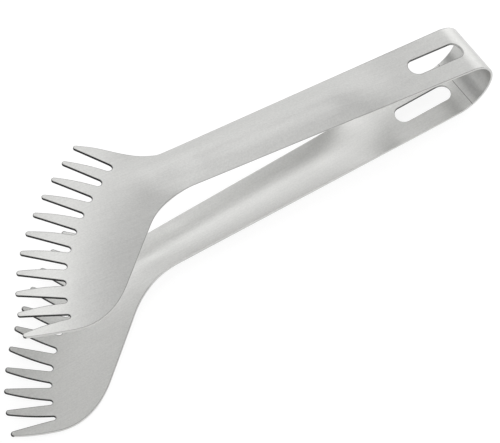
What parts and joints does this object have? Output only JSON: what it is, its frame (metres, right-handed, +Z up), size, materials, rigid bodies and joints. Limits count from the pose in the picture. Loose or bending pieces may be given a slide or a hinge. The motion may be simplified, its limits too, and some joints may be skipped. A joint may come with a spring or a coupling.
{
  "type": "spaghetti tongs",
  "caption": "Sprung kitchen tongs pressed from satin steel sheet: slotted, crowned handles on a round spring bow, and swept, domed comb heads whose tapered teeth close tip to tip.",
  "frame": {"origin": "middle of the bottom of the bounding box, tongs lying on the outside of the lower arm", "axes": "+X from the spring bow towards the comb heads, along the lower arm's level rim; +Y the side that the heads sweep to; +Z up, from the lower arm to the upper arm"},
  "size_m": [0.3036, 0.091, 0.0889],
  "materials": {
    "steel": "satin stainless steel with a fine brushed grain"
  },
  "bodies": {
    "lower": {"lower_arm": "steel"},
    "bow": {"spring_bow": "steel"},
    "upper": {"upper_arm": "steel"}
  },
  "joints": [
    {"name": "bow_flex_lower", "type": "hinge", "parent": "lower", "child": "bow", "pos_m": [-0.14466, -0.01163, 0.01103], "axis": [0, 1, 0], "range_deg": [0, 7.85], "stiffness_Nm_per_rad": 20, "springref_deg": -0.57},
    {"name": "bow_flex_upper", "type": "hinge", "parent": "bow", "child": "upper", "pos_m": [-0.14646, -0.01163, 0.03201], "axis": [0, 1, 0], "range_deg": [0, 7.85], "stiffness_Nm_per_rad": 20, "springref_deg": -0.57}
  ],
  "couplings": [
    {"joint": "bow_flex_upper", "follows": "bow_flex_lower", "ratio": 1}
  ]
}
